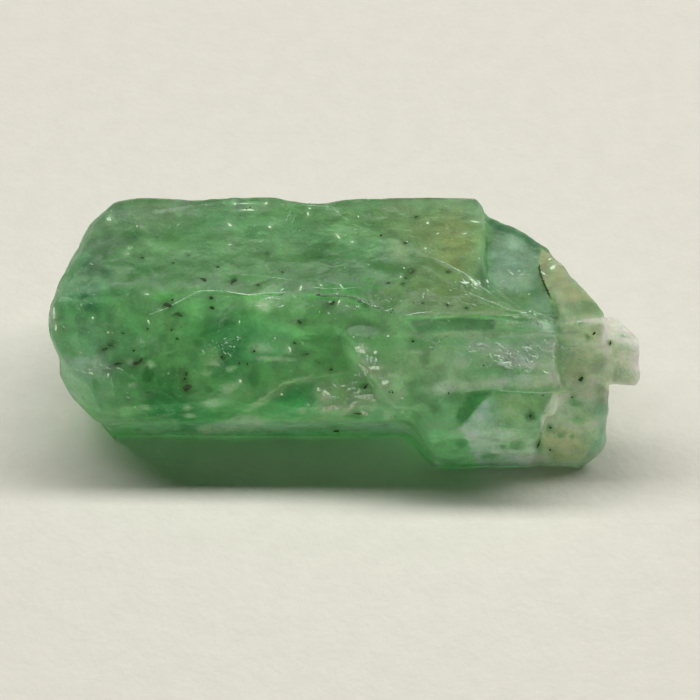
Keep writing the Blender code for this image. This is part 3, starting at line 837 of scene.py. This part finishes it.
# A tint is a colour as it looks divided by the light that its place gets, so faces that get less light are
# painted lighter: painted light, standing in for light that comes through the stone. These were tuned by
# rendering.
SCREEN_GAMMA = 2.2
MOST_TINT = 0.92
MOST_TINT_HUE = 0.8
LIGHT_GAIN = np.array((2.78, 2.03, 2.7))
LEAST_LIGHT = 0.35
MORE_CONTRAST = 0.3
TO_LIGHT = np.array((0.0, 0.18, 0.98))
BROAD_ROUNDS = 40
TINT_RANGE = (0.01, 0.95)

# Patches of colour show on faces turned to the camera, and their edges are ragged.
PATCH_FACING = (0.0, 0.12)
ZONE_REACH = 2.0
ZONE_EDGE = Noise(0.5, 111, 3, 0.7)
PANE_EDGE = Noise(0.3, 113, 3, 1.2)
PANE_MARGIN = 12

# Clouds, a drift of hue, shattered shards of lighter and darker stone, and pale healed cracks between them.
CLOUDS = (Noise(1.5, 81), Noise(0.45, 83, 3, 0.8))
CLOUD_STRENGTH = 0.24
YELLOWS = (Noise(2.4, 85, 2), Noise(0.6, 87, 2, 0.7))
YELLOWING = np.array((0.07, 0.0, -0.10))
CLARITY_DRIFT = Noise(0.8, 89, 3, 0.12)
SHARDS = Cells((1.5, 0.8, 0.8), 117)
SHARD_BENDS = Noise(0.7, 121, 3, 0.5)
SHARD_PLACES = Noise(2.0, 124, 2)
SHARD_EDGE = (-0.1, 0.25)
SHARD_STRENGTH = 0.34
VEIN_PLACES = Noise(1.1, 125, 2)
VEIN_EDGE = (0.0, 0.3)
VEIN_WIDTH = (0.09, 0.0)
VEIN_STRENGTH = 0.3
VEIN_TINT = 0.8
MORE_IF_HIDDEN = 0.3


def tinted(colour, light):
    """The tints that show as a colour, given from 0 to 255, at places that get this light, 1 being full."""
    linear = (np.array(colour) / 255) ** SCREEN_GAMMA
    linear *= (linear[1] / (BODY_GREEN[1] / 255) ** SCREEN_GAMMA) ** MORE_CONTRAST
    most = MOST_TINT * (linear / linear.max()) ** MOST_TINT_HUE
    return np.minimum(LIGHT_GAIN * linear / light[:, None], most)


def zone_share(zone, points, column, row, facing):
    """How much of a zone's colour each point takes: all in its middle, none past its edge."""
    turn = math.radians(zone.turn)
    across, down = column - zone.column, row - zone.row
    along = (across * math.cos(turn) + down * math.sin(turn)) / zone.length
    aside = (down * math.cos(turn) - across * math.sin(turn)) / zone.width
    reach = np.hypot(along, aside)
    index = np.flatnonzero((reach < ZONE_REACH) & (facing > 0))
    share = np.zeros(len(points))
    ragged = zone.softness * fractal(points[index], ZONE_EDGE)
    share[index] = smoothstep(1 + zone.softness, 1 - zone.softness, reach[index] + ragged) * facing[index]
    return share * zone.strength


def pane_share(pane, points, column, row, facing):
    """How much of a pane's colour each point takes: all inside its outline, none outside."""
    index = seen_near(column, row, facing, pane.outline, PANE_MARGIN)
    across, down = column[index], row[index]
    outline = [*pane.outline, pane.outline[0]]
    inside = np.zeros(len(index), bool)
    for start, end in itertools.pairwise(outline):
        if start[1] == end[1]:
            continue
        crossing = start[0] + (down - start[1]) / (end[1] - start[1]) * (end[0] - start[0])
        inside ^= ((start[1] > down) != (end[1] > down)) & (across < crossing)
    distance, _ = along_path(across, down, outline)
    deep = np.where(inside, 1, -1) * np.abs(distance)
    ragged = pane.soft * fractal(points[index], PANE_EDGE)
    share = np.zeros(len(points))
    share[index] = smoothstep(-pane.soft, pane.soft, deep + ragged) * facing[index]
    return share * pane.strength


def painted_spots(spots, look):
    """The zones that spots of one look are painted as."""
    for spot in spots.values():
        half_length, half_width = look.length * spot.length, look.width * spot.width
        yield Zone(spot.column, spot.row, half_length, half_width, spot.turn, *look[2:])


def all_patches():
    """Every patch of colour, in the order in which they are painted, with the function that places it."""
    yield from ((end, end_share) for end in PALE_ENDS.values())
    yield from ((zone, zone_share) for zone in ZONES.values())
    yield from ((pane, pane_share) for pane in PANES.values())
    looks = ((DARK_SPECKS, SPECK_HALO), (PALE_CRUMBS_AND_GLINTS, CRUMB_AND_GLINT_HALO), (PALE_CLOUDS, CLOUD), (DARK_STAINS, STAIN))
    for spots, look in looks:
        yield from ((zone, zone_share) for zone in painted_spots(spots, look))


def end_share(end, points, *_):
    """How much of a pale end's colour each point takes."""
    return end.strength * smoothstep(*end.reach, points[:, 0] + fractal(points, end.edge))


def natural_tint(tint, points, facing):
    """The tint with clouds, drifting hue, shards and healed cracks, over the whole stone."""
    clouds = sum(fractal(points, noise) for noise in CLOUDS)
    tint = tint * (1 + CLOUD_STRENGTH * clouds)[:, None]
    yellow = sum(fractal(points, noise) for noise in YELLOWS)
    tint = tint * (1 + yellow[:, None] * YELLOWING)
    nearest, second, worth = nearest_cells(bent(points, SHARD_BENDS), SHARDS)
    hidden = MORE_IF_HIDDEN * (1 - facing)
    shattered = smoothstep(*SHARD_EDGE, fractal(points, SHARD_PLACES))
    tint = tint * (1 + (SHARD_STRENGTH + hidden) * shattered * (worth - 0.5))[:, None]
    healed = smoothstep(*VEIN_WIDTH, second - nearest) * smoothstep(*VEIN_EDGE, fractal(points, VEIN_PLACES))
    return tint + ((VEIN_STRENGTH + hidden) * healed)[:, None] * (VEIN_TINT - tint)


def paint(mesh):
    """The stone's tint at each point, and in its alpha how clear it is."""
    points, normals = mesh_arrays(mesh)
    # Painted light: the less key light a face gets, the lighter its tint.
    broad = relaxed(normals, edge_ends(mesh), BROAD_ROUNDS)
    light = LEAST_LIGHT + (1 - LEAST_LIGHT) * np.clip(broad @ TO_LIGHT, 0, 1)
    tint = tinted(BODY_GREEN, light)
    clarity = np.full(len(points), BODY_CLARITY)
    column, row = project(points)
    facing = smoothstep(*PATCH_FACING, normals @ BACK)
    for patch, share_of in all_patches():
        share = share_of(patch, points, column, row, facing)
        tint += share[:, None] * (tinted(patch.colour, light) - tint)
        clarity += share * (patch.clarity - clarity)
    tint = natural_tint(tint, points, facing)
    clarity += fractal(points, CLARITY_DRIFT)
    layer = mesh.attributes.new("tint", "FLOAT_COLOR", "POINT")
    rgba = np.column_stack([np.clip(tint, *TINT_RANGE), np.clip(clarity, 0, 1)]).astype(np.float32)
    layer.data.foreach_set("color", rgba.ravel())


# ---- small pieces

# Chips at the spots: length for each pixel of a spot's length, width and thickness for each of its width, how
# deep a chip lies for each part of its thickness, and how far it turns up towards the light.
Placed = namedtuple("Placed", "seed long wide thick corners sunk raised")
PLACED_SPECKS = Placed(201, 1.15, 1.15, 0.4, 9, 0.1, 0.0)
PLACED_CRUMBS_AND_GLINTS = Placed(301, 1.05, 1.05, 0.3, 11, 0.0, 0.5)

# Chips strewn all over the stone: the usual length in millimetres where the camera sees them and on the
# hidden sides, how widely it varies, and the least and most width and the thickness for each part of it.
Strewn = namedtuple("Strewn", "seed count length hidden_length spread widths thick corners sunk")
STREWN_SPECKS = Strewn(211, 260, 0.05, 0.13, 0.45, (0.4, 0.9), 0.25, 12, 0.2)
STREWN_CRUMBS = Strewn(311, 1100, 0.05, 0.09, 0.5, (0.3, 0.8), 0.3, 9, 0.0)
HIDDEN_FACING = -0.1

SLIVER_SEED = 401
SLIVER_CORNERS = 9
SLIVER_TURNS = 22
SLIVER_SPREAD = 0.45
SLIVER_WIDTHS = (0.12, 0.3)
SLIVER_THICK = 0.08

# In pixels: the step between a lip's rings, how far they stray, and how far above the crack's path they lie.
LIP_SEED = 501
LIP_STEP = 1.5
LIP_SIDES = 6
LIP_STRAY = 0.25
LIP_ABOVE = 1.0
LIP_SWELLS = 400
LIP_SWELL_RANGE = (0.4, 1.2)
RINGS_A_SWELL = 4
LIP_END_POWER = 0.4
LIP_OUT = 0.3
LIP_FLATNESS = 0.6

# The plate's crack is open along its upper part: a dark thread stands in for the shade in the gap, painted
# shade.
OPEN_WIDTH = 2.6
OPEN_POINTS = 4
CRACK_SHADE_LIPS = {"plate_crack": Crack(0.0, OPEN_WIDTH, CRACKS["plate_crack"].path[:OPEN_POINTS])}


def chip(draw, corners, centre, normal, along, size):
    """The points of an angular chip: its long way, its width and its thickness are size."""
    spread = draw.normal(size=(corners, 3))
    spread /= np.linalg.norm(spread, axis=1)[:, None]
    spread *= np.array(size) / 2
    across = np.cross(normal, along)
    return centre + spread @ np.stack([along, across, normal])


def hull_mesh(name, chips):
    """One mesh of many closed chips, each the convex hull of its points."""
    made = bmesh.new()
    for points in chips:
        corners = [made.verts.new(point * MM) for point in points]
        bmesh.ops.convex_hull(made, input=corners, use_existing_faces=False)
    loose = [corner for corner in made.verts if not corner.link_faces]
    bmesh.ops.delete(made, geom=loose, context="VERTS")
    bmesh.ops.triangulate(made, faces=made.faces)
    mesh = bpy.data.meshes.new(name)
    made.to_mesh(mesh)
    made.free()
    return mesh


def all_round(mesh, count, seed):
    """Random places all over the stone: point, normal and a way along the surface."""
    draw = np.random.default_rng(seed)
    points, normals = mesh_arrays(mesh)
    chosen = draw.choice(len(points), count, replace=False)
    for index in chosen:
        way = np.cross(normals[index], draw.normal(size=3))
        yield points[index], normals[index], way / np.linalg.norm(way)


def grit_chips(tree, mesh, spots, placed, strewn):
    """The chips at the spots, then those strewn all over the stone."""
    draw = np.random.default_rng(placed.seed)
    for spot in spots.values():
        place = lie(tree, spot.column, spot.row, spot.turn)
        if place is None:
            continue
        point, normal, along, pixel = place
        long, wide = placed.long * spot.length * pixel, placed.wide * spot.width * pixel
        size = (long, wide, placed.thick * spot.width * pixel)
        centre = point - normal * placed.sunk * size[2]
        upward = normal + (0.0, 0.0, placed.raised)
        yield chip(draw, placed.corners, centre, upward / np.linalg.norm(upward), along, size)
    for point, normal, along in all_round(mesh, strewn.count, strewn.seed):
        usual = strewn.hidden_length if normal @ BACK < HIDDEN_FACING else strewn.length
        length = draw.lognormal(math.log(usual), strewn.spread)
        size = (length, length * draw.uniform(*strewn.widths), length * strewn.thick)
        yield chip(draw, strewn.corners, point - normal * strewn.sunk * size[2], normal, along, size)


def sliver_chips(tree):
    """Fine pale slivers, close together where the stone's surface is shattered."""
    draw = np.random.default_rng(SLIVER_SEED)
    for patch in SHATTERED.values():
        for _ in range(patch.count):
            column = patch.column + draw.normal() * patch.length / 2
            row = patch.row + draw.normal() * patch.width / 2
            place = lie(tree, column, row, patch.turn + draw.normal() * SLIVER_TURNS)
            if place is None:
                continue
            point, normal, along, pixel = place
            length = draw.lognormal(math.log(patch.sliver), SLIVER_SPREAD) * pixel
            size = (length, draw.uniform(*SLIVER_WIDTHS) * length, SLIVER_THICK * length)
            yield chip(draw, SLIVER_CORNERS, point, normal, along, size)


def lip_places(tree, crack, draw):
    """Places on the stone along a crack's path."""
    for (start_column, start_row), (end_column, end_row) in itertools.pairwise(crack.path):
        across, down = end_column - start_column, end_row - start_row
        steps = max(2, round(math.hypot(across, down) / LIP_STEP))
        turn = math.degrees(math.atan2(down, across))
        for step in range(steps):
            share = step / steps
            column = start_column + share * across + draw.normal() * LIP_STRAY
            row = start_row + share * down + draw.normal() * LIP_STRAY - LIP_ABOVE
            place = lie(tree, column, row, turn)
            if place is not None:
                yield place


def lip_rings(tree, crack, draw):
    """Rings of points along a crack's lip, a flat thread half sunk in the stone."""
    swells = draw.uniform(*LIP_SWELL_RANGE, LIP_SWELLS)
    places = list(lip_places(tree, crack, draw))
    turns = np.arange(LIP_SIDES) * 2 * math.pi / LIP_SIDES
    for number, (point, normal, along, _) in enumerate(places):
        ends = math.sin(math.pi * (number + 0.5) / len(places)) ** LIP_END_POWER
        swell = np.interp(number / RINGS_A_SWELL, np.arange(LIP_SWELLS), swells)
        radius = 0.5 * crack.lip * ends * swell / PIXELS_PER_MM
        side = np.cross(normal, along)
        out = LIP_OUT + LIP_FLATNESS * np.sin(turns)
        yield point + radius * (np.cos(turns)[:, None] * side + out[:, None] * normal)


def lips_mesh(name, tree, cracks):
    """One mesh of all the lips, each a closed tube."""
    draw = np.random.default_rng(LIP_SEED)
    points, faces = [], []
    for crack in cracks.values():
        rings = list(lip_rings(tree, crack, draw)) if crack.lip else []
        if len(rings) < 2:
            continue
        first = len(points)
        points += [tuple(point * MM) for ring in rings for point in ring]
        for ring in range(len(rings) - 1):
            for side in range(LIP_SIDES):
                one = first + ring * LIP_SIDES + side
                two = first + ring * LIP_SIDES + (side + 1) % LIP_SIDES
                faces.append((one, two, two + LIP_SIDES, one + LIP_SIDES))
        last = first + (len(rings) - 1) * LIP_SIDES
        faces.append(tuple(first + side for side in reversed(range(LIP_SIDES))))
        faces.append(tuple(last + side for side in range(LIP_SIDES)))
    mesh = bpy.data.meshes.new(name)
    mesh.from_pydata(points, [], faces)
    return mesh


def add_piece(name, mesh, material):
    piece = new_object(name, mesh)
    piece.data.materials.clear()
    piece.data.materials.append(material)
    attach(piece, "root")
    return piece


# ---- materials

# Beryl's index of refraction, and how green light goes on when red and blue are absorbed, for each metre.
BERYL_IOR = 1.58
BERYL_SHINE = 0.1
SCATTER_MM = 1.2
SCATTER_HUE = (0.6, 1.0, 0.7)
ABSORBED_TO = (0.10, 0.72, 0.38, 1.0)
ABSORPTION = 100.0

# The small pieces' looks.
ChipLook = namedtuple("ChipLook", "colour roughness")
CHIP_LOOKS = rows(
    ChipLook,
    # The mica look also gives the painted shade in the plate's open crack.
    mica=((0.035, 0.085, 0.02), 0.75),
    pale_chips=((0.66, 0.88, 0.58), 0.4),
    pale_slivers=((0.62, 0.84, 0.64), 0.35),
)
CHIP_IOR = 1.55
PAPER = (0.82, 0.813, 0.714)
PAPER_ROUGHNESS = 0.9

# Noise textures: the size of a cell in millimetres, the least and the most value, the detail, how far it is
# drawn out along X, and where in the noise it goes from the least value to the most.
USUAL_TEXTURE = ((0.0, 1.0), 3.0, 1.0, (0.3, 0.7))
Texture = namedtuple("Texture", "cell values detail stretch span", defaults=USUAL_TEXTURE)
BERYL_CLOUDS = Texture(0.55, (0.86, 1.14), 6.0, 0.8)
BERYL_GRAINS = Texture(0.09, (0.93, 1.07))
BERYL_GLOSS = Texture(0.8, (0.36, 0.54), span=(0.35, 0.65))
BERYL_PITS = Texture(0.12, detail=4.0)
CHIP_SHADES = Texture(0.07, (0.7, 1.3))
CHIP_GLOSS = Texture(0.12, (0.8, 1.2))
PAPER_SHADES = Texture(0.9, (0.985, 1.015), 5.0)
PAPER_FIBRES = Texture(0.3, detail=5.0)
BERYL_PIT_DEPTH = 0.02
PAPER_FIBRE_DEPTH = 0.045


def new_material(name):
    material = bpy.data.materials.new(name)
    material.use_nodes = True
    return material, material.node_tree, material.node_tree.nodes["Principled BSDF"]


def noise_value(tree, texture):
    """Procedural noise over the object, from 0 to 1."""
    place = tree.nodes.new("ShaderNodeTexCoord")
    mapping = tree.nodes.new("ShaderNodeMapping")
    mapping.inputs["Scale"].default_value = (1 / texture.stretch, 1.0, 1.0)
    noise = tree.nodes.new("ShaderNodeTexNoise")
    noise.inputs["Scale"].default_value = 1 / (texture.cell * MM)
    noise.inputs["Detail"].default_value = texture.detail
    tree.links.new(place.outputs["Object"], mapping.inputs["Vector"])
    tree.links.new(mapping.outputs["Vector"], noise.inputs["Vector"])
    return noise.outputs["Fac"]


def shades(tree, texture, factor=1.0):
    """A noise texture's values, times a factor."""
    node = tree.nodes.new("ShaderNodeMapRange")
    node.interpolation_type = "SMOOTHSTEP"
    numbers = (*texture.span, *(factor * value for value in texture.values))
    for name, number in zip(("From Min", "From Max", "To Min", "To Max"), numbers):
        node.inputs[name].default_value = number
    tree.links.new(noise_value(tree, texture), node.inputs["Value"])
    return node.outputs["Result"]


def product(tree, colour, factor):
    node = tree.nodes.new("ShaderNodeVectorMath")
    node.operation = "SCALE"
    tree.links.new(colour, node.inputs[0])
    tree.links.new(factor, node.inputs["Scale"])
    return node.outputs["Vector"]


def plain_colour(tree, colour):
    node = tree.nodes.new("ShaderNodeRGB")
    node.outputs[0].default_value = (*colour, 1.0)
    return node.outputs[0]


def bump(tree, shader, texture, depth_mm):
    node = tree.nodes.new("ShaderNodeBump")
    node.inputs["Distance"].default_value = depth_mm * MM
    tree.links.new(noise_value(tree, texture), node.inputs["Height"])
    tree.links.new(node.outputs["Normal"], shader.inputs["Normal"])


def beryl_material():
    """Cloudy green beryl: part of its light goes through and the rest scatters just under the surface."""
    material, tree, shader = new_material("beryl")
    links = tree.links
    tint = tree.nodes.new("ShaderNodeAttribute")
    tint.attribute_name = "tint"
    cloudy = product(tree, tint.outputs["Color"], shades(tree, BERYL_CLOUDS))
    grainy = product(tree, cloudy, shades(tree, BERYL_GRAINS))
    links.new(grainy, shader.inputs["Base Color"])
    links.new(tint.outputs["Alpha"], shader.inputs["Transmission Weight"])
    links.new(shades(tree, BERYL_GLOSS), shader.inputs["Roughness"])
    bump(tree, shader, BERYL_PITS, BERYL_PIT_DEPTH)
    shader.inputs["IOR"].default_value = BERYL_IOR
    shader.inputs["Specular IOR Level"].default_value = BERYL_SHINE
    shader.inputs["Subsurface Weight"].default_value = 1.0
    shader.inputs["Subsurface Radius"].default_value = SCATTER_HUE
    shader.inputs["Subsurface Scale"].default_value = SCATTER_MM * MM
    volume = tree.nodes.new("ShaderNodeVolumeAbsorption")
    volume.inputs["Color"].default_value = ABSORBED_TO
    volume.inputs["Density"].default_value = ABSORPTION
    links.new(volume.outputs["Volume"], tree.nodes["Material Output"].inputs["Volume"])
    return material


def chip_material(name, look):
    """The finish of the small pieces: one colour, mottled."""
    material, tree, shader = new_material(name)
    mottled = product(tree, plain_colour(tree, look.colour), shades(tree, CHIP_SHADES))
    tree.links.new(mottled, shader.inputs["Base Color"])
    tree.links.new(shades(tree, CHIP_GLOSS, look.roughness), shader.inputs["Roughness"])
    shader.inputs["IOR"].default_value = CHIP_IOR
    return material


def paper_material():
    material, tree, shader = new_material("paper")
    fibrous = product(tree, plain_colour(tree, PAPER), shades(tree, PAPER_SHADES))
    tree.links.new(fibrous, shader.inputs["Base Color"])
    bump(tree, shader, PAPER_FIBRES, PAPER_FIBRE_DEPTH)
    shader.inputs["Roughness"].default_value = PAPER_ROUGHNESS
    return material


# ---- stage

PAPER_REACH = 1.5

# Area lights that look at the stone: metres from it, degrees up from the front, degrees round to the right,
# metres moved aside, size in metres, and power in watts. The key hangs high behind the stone.
Light = namedtuple("Light", "distance up around aside size power")
LIGHTS = rows(
    Light,
    key=(0.4, 103.5, 0, 0.10, (1.0, 0.085), 2.66),
    fill=(0.35, 12, 20, 0.0, (0.3, 0.1), 0.058),
)
LIGHT_COLOUR = (1.0, 0.98, 0.975)
SKY = (0.9, 0.9, 0.85, 1.0)
SKY_STRENGTH = 0.01


def add_camera():
    data = bpy.data.cameras.new("camera")
    data.lens = SENSOR * FOCAL_PIXELS / PICTURE
    data.sensor_width = SENSOR
    data.clip_start = 0.01
    camera = new_object("camera", data)
    camera.location = Vector(EYE) * MM
    camera.rotation_euler = (math.pi / 2 - ELEVATION, 0, 0)
    bpy.context.scene.camera = camera


def add_paper():
    corners = [(x * PAPER_REACH, y * PAPER_REACH, 0) for x, y in ((-1, -1), (1, -1), (1, 1), (-1, 1))]
    mesh = bpy.data.meshes.new("paper")
    mesh.from_pydata(corners, [], [(0, 1, 2, 3)])
    floor = new_object("paper", mesh)
    floor.data.materials.append(paper_material())
    floor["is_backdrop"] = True


def add_lights():
    for name, lamp in LIGHTS.items():
        data = bpy.data.lights.new(name, "AREA")
        data.shape = "RECTANGLE"
        data.size, data.size_y = lamp.size
        data.energy = lamp.power
        data.color = LIGHT_COLOUR
        light = new_object(name, data)
        up, around = math.radians(lamp.up), math.radians(lamp.around)
        out, high = lamp.distance * math.cos(up), lamp.distance * math.sin(up)
        light.location = (lamp.aside + out * math.sin(around), -out * math.cos(around), high)
        light.rotation_euler = (math.pi / 2 - up, 0, around)
        light.visible_camera = False


def add_world():
    world = bpy.data.worlds.new("world")
    bpy.context.scene.world = world
    world.use_nodes = True
    background = world.node_tree.nodes["Background"]
    background.inputs["Color"].default_value = SKY
    background.inputs["Strength"].default_value = SKY_STRENGTH
    bpy.context.scene.view_settings.view_transform = "Standard"


# ---- all of it


def add_stone(node):
    """The stone itself, with a tree for placing pieces on it and a copy of its mesh in millimetres."""
    mesh = carved_mesh(node)
    paint(mesh)
    points, _ = mesh_arrays(mesh)
    triangles = np.empty(len(mesh.polygons) * 3, np.int32)
    mesh.polygons.foreach_get("vertices", triangles)
    tree = BVHTree.FromPolygons(points.tolist(), triangles.reshape(-1, 3).tolist())
    places = mesh.copy()
    set_points(mesh, points * MM)
    mesh.shade_smooth()
    stone = add_piece("emerald_stone", mesh, beryl_material())
    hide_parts("emerald_crystal")
    return tree, places


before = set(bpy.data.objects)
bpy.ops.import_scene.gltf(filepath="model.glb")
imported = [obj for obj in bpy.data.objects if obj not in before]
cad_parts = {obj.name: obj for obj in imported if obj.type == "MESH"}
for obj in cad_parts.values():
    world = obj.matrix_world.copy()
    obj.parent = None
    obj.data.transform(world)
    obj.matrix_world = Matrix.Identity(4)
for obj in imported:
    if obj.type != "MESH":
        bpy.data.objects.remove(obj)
cad_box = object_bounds()
add_camera()
add_paper()
add_lights()
add_world()

tree, places = add_stone(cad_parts["emerald_crystal"])
dark, pale, veil_and_rim_glow = (chip_material(name, look) for name, look in CHIP_LOOKS.items())
specks = grit_chips(tree, places, DARK_SPECKS, PLACED_SPECKS, STREWN_SPECKS)
crumbs = grit_chips(tree, places, PALE_CRUMBS_AND_GLINTS, PLACED_CRUMBS_AND_GLINTS, STREWN_CRUMBS)
add_piece("dark_specks", hull_mesh("dark_specks", specks), dark)
add_piece("pale_crumbs_and_glints", hull_mesh("pale_crumbs_and_glints", crumbs), pale)
add_piece("pale_slivers", hull_mesh("pale_slivers", sliver_chips(tree)), veil_and_rim_glow)
# Among the lips is a pale thread of painted light along the bottom edge.
add_piece("crack_lips_and_rim_glow", lips_mesh("crack_lips_and_rim_glow", tree, CRACKS), veil_and_rim_glow)
add_piece("crack_shade", lips_mesh("crack_shade", tree, CRACK_SHADE_LIPS), dark)

bpy.context.view_layer.update()
visual_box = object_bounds()
boxes = {"cad": cad_box, "visual": visual_box}
{name: [list(corner) for corner in box] for name, box in boxes.items()}
